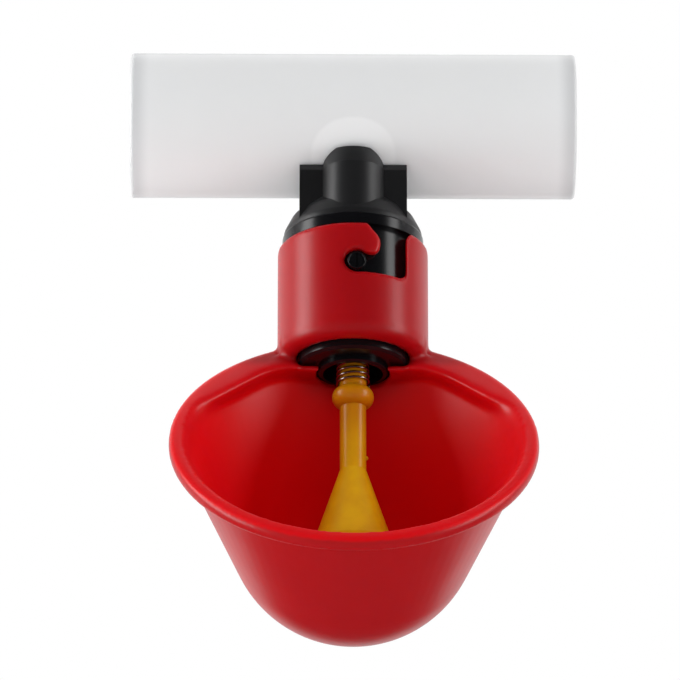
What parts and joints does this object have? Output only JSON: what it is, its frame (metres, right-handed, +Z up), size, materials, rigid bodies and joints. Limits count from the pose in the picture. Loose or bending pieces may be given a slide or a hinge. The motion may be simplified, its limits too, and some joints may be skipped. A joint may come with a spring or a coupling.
{
  "type": "poultry nipple drinker",
  "caption": "Poultry drinker that hangs from a water pipe: pipe tee, black valve body, amber pecking trigger and a slanted red cup on a bayonet collar.",
  "frame": {"origin": "middle of the pipe fitting, on the axis of the water pipe", "axes": "+X along the water pipe, -Y towards the bird, +Z up along the valve's axis"},
  "size_m": [0.0976, 0.0663, 0.1378],
  "materials": {
    "milky_plastic": "milky translucent polyethylene",
    "matte_black": "fine matte black moulded plastic",
    "gloss_black": "glossy black moulded plastic",
    "rubber_black": "soft black rubber",
    "white_plastic": "plain white plastic",
    "amber_plastic": "waxy amber yellow plastic",
    "spring_steel": "bright drawn wire",
    "red_plastic": "satin red moulded plastic"
  },
  "bodies": {
    "valve_body": {"pipe_tee": "milky_plastic", "inlet_head": "matte_black", "spigot_ring": "rubber_black", "inlet_strainer": "white_plastic", "head_ring": "rubber_black", "valve_housing": "gloss_black", "seat_bush": "gloss_black", "seat_seal": "rubber_black"},
    "cup": {"drinking_cup": "red_plastic"},
    "spring": {"trigger_spring": "spring_steel"},
    "trigger": {"trigger": "amber_plastic", "valve_ball": "amber_plastic"}
  },
  "joints": [
    {"name": "cup_twist", "type": "hinge", "parent": "valve_body", "child": "cup", "pos_m": [0, 0, -0.045], "axis": [0, 0, 1], "range_deg": [-28, 0]},
    {"name": "trigger_tilt", "type": "hinge", "parent": "valve_body", "child": "spring", "pos_m": [0, 0, -0.04473], "axis": [1, 0, 0], "range_deg": [-4, 4], "stiffness_Nm_per_rad": 0.01, "deforming": ["trigger_spring"]},
    {"name": "trigger_sway", "type": "hinge", "parent": "spring", "child": "trigger", "pos_m": [0, 0, -0.04473], "axis": [0, 1, 0], "range_deg": [-4, 4], "stiffness_Nm_per_rad": 0.01, "deforming": ["trigger_spring"]}
  ]
}
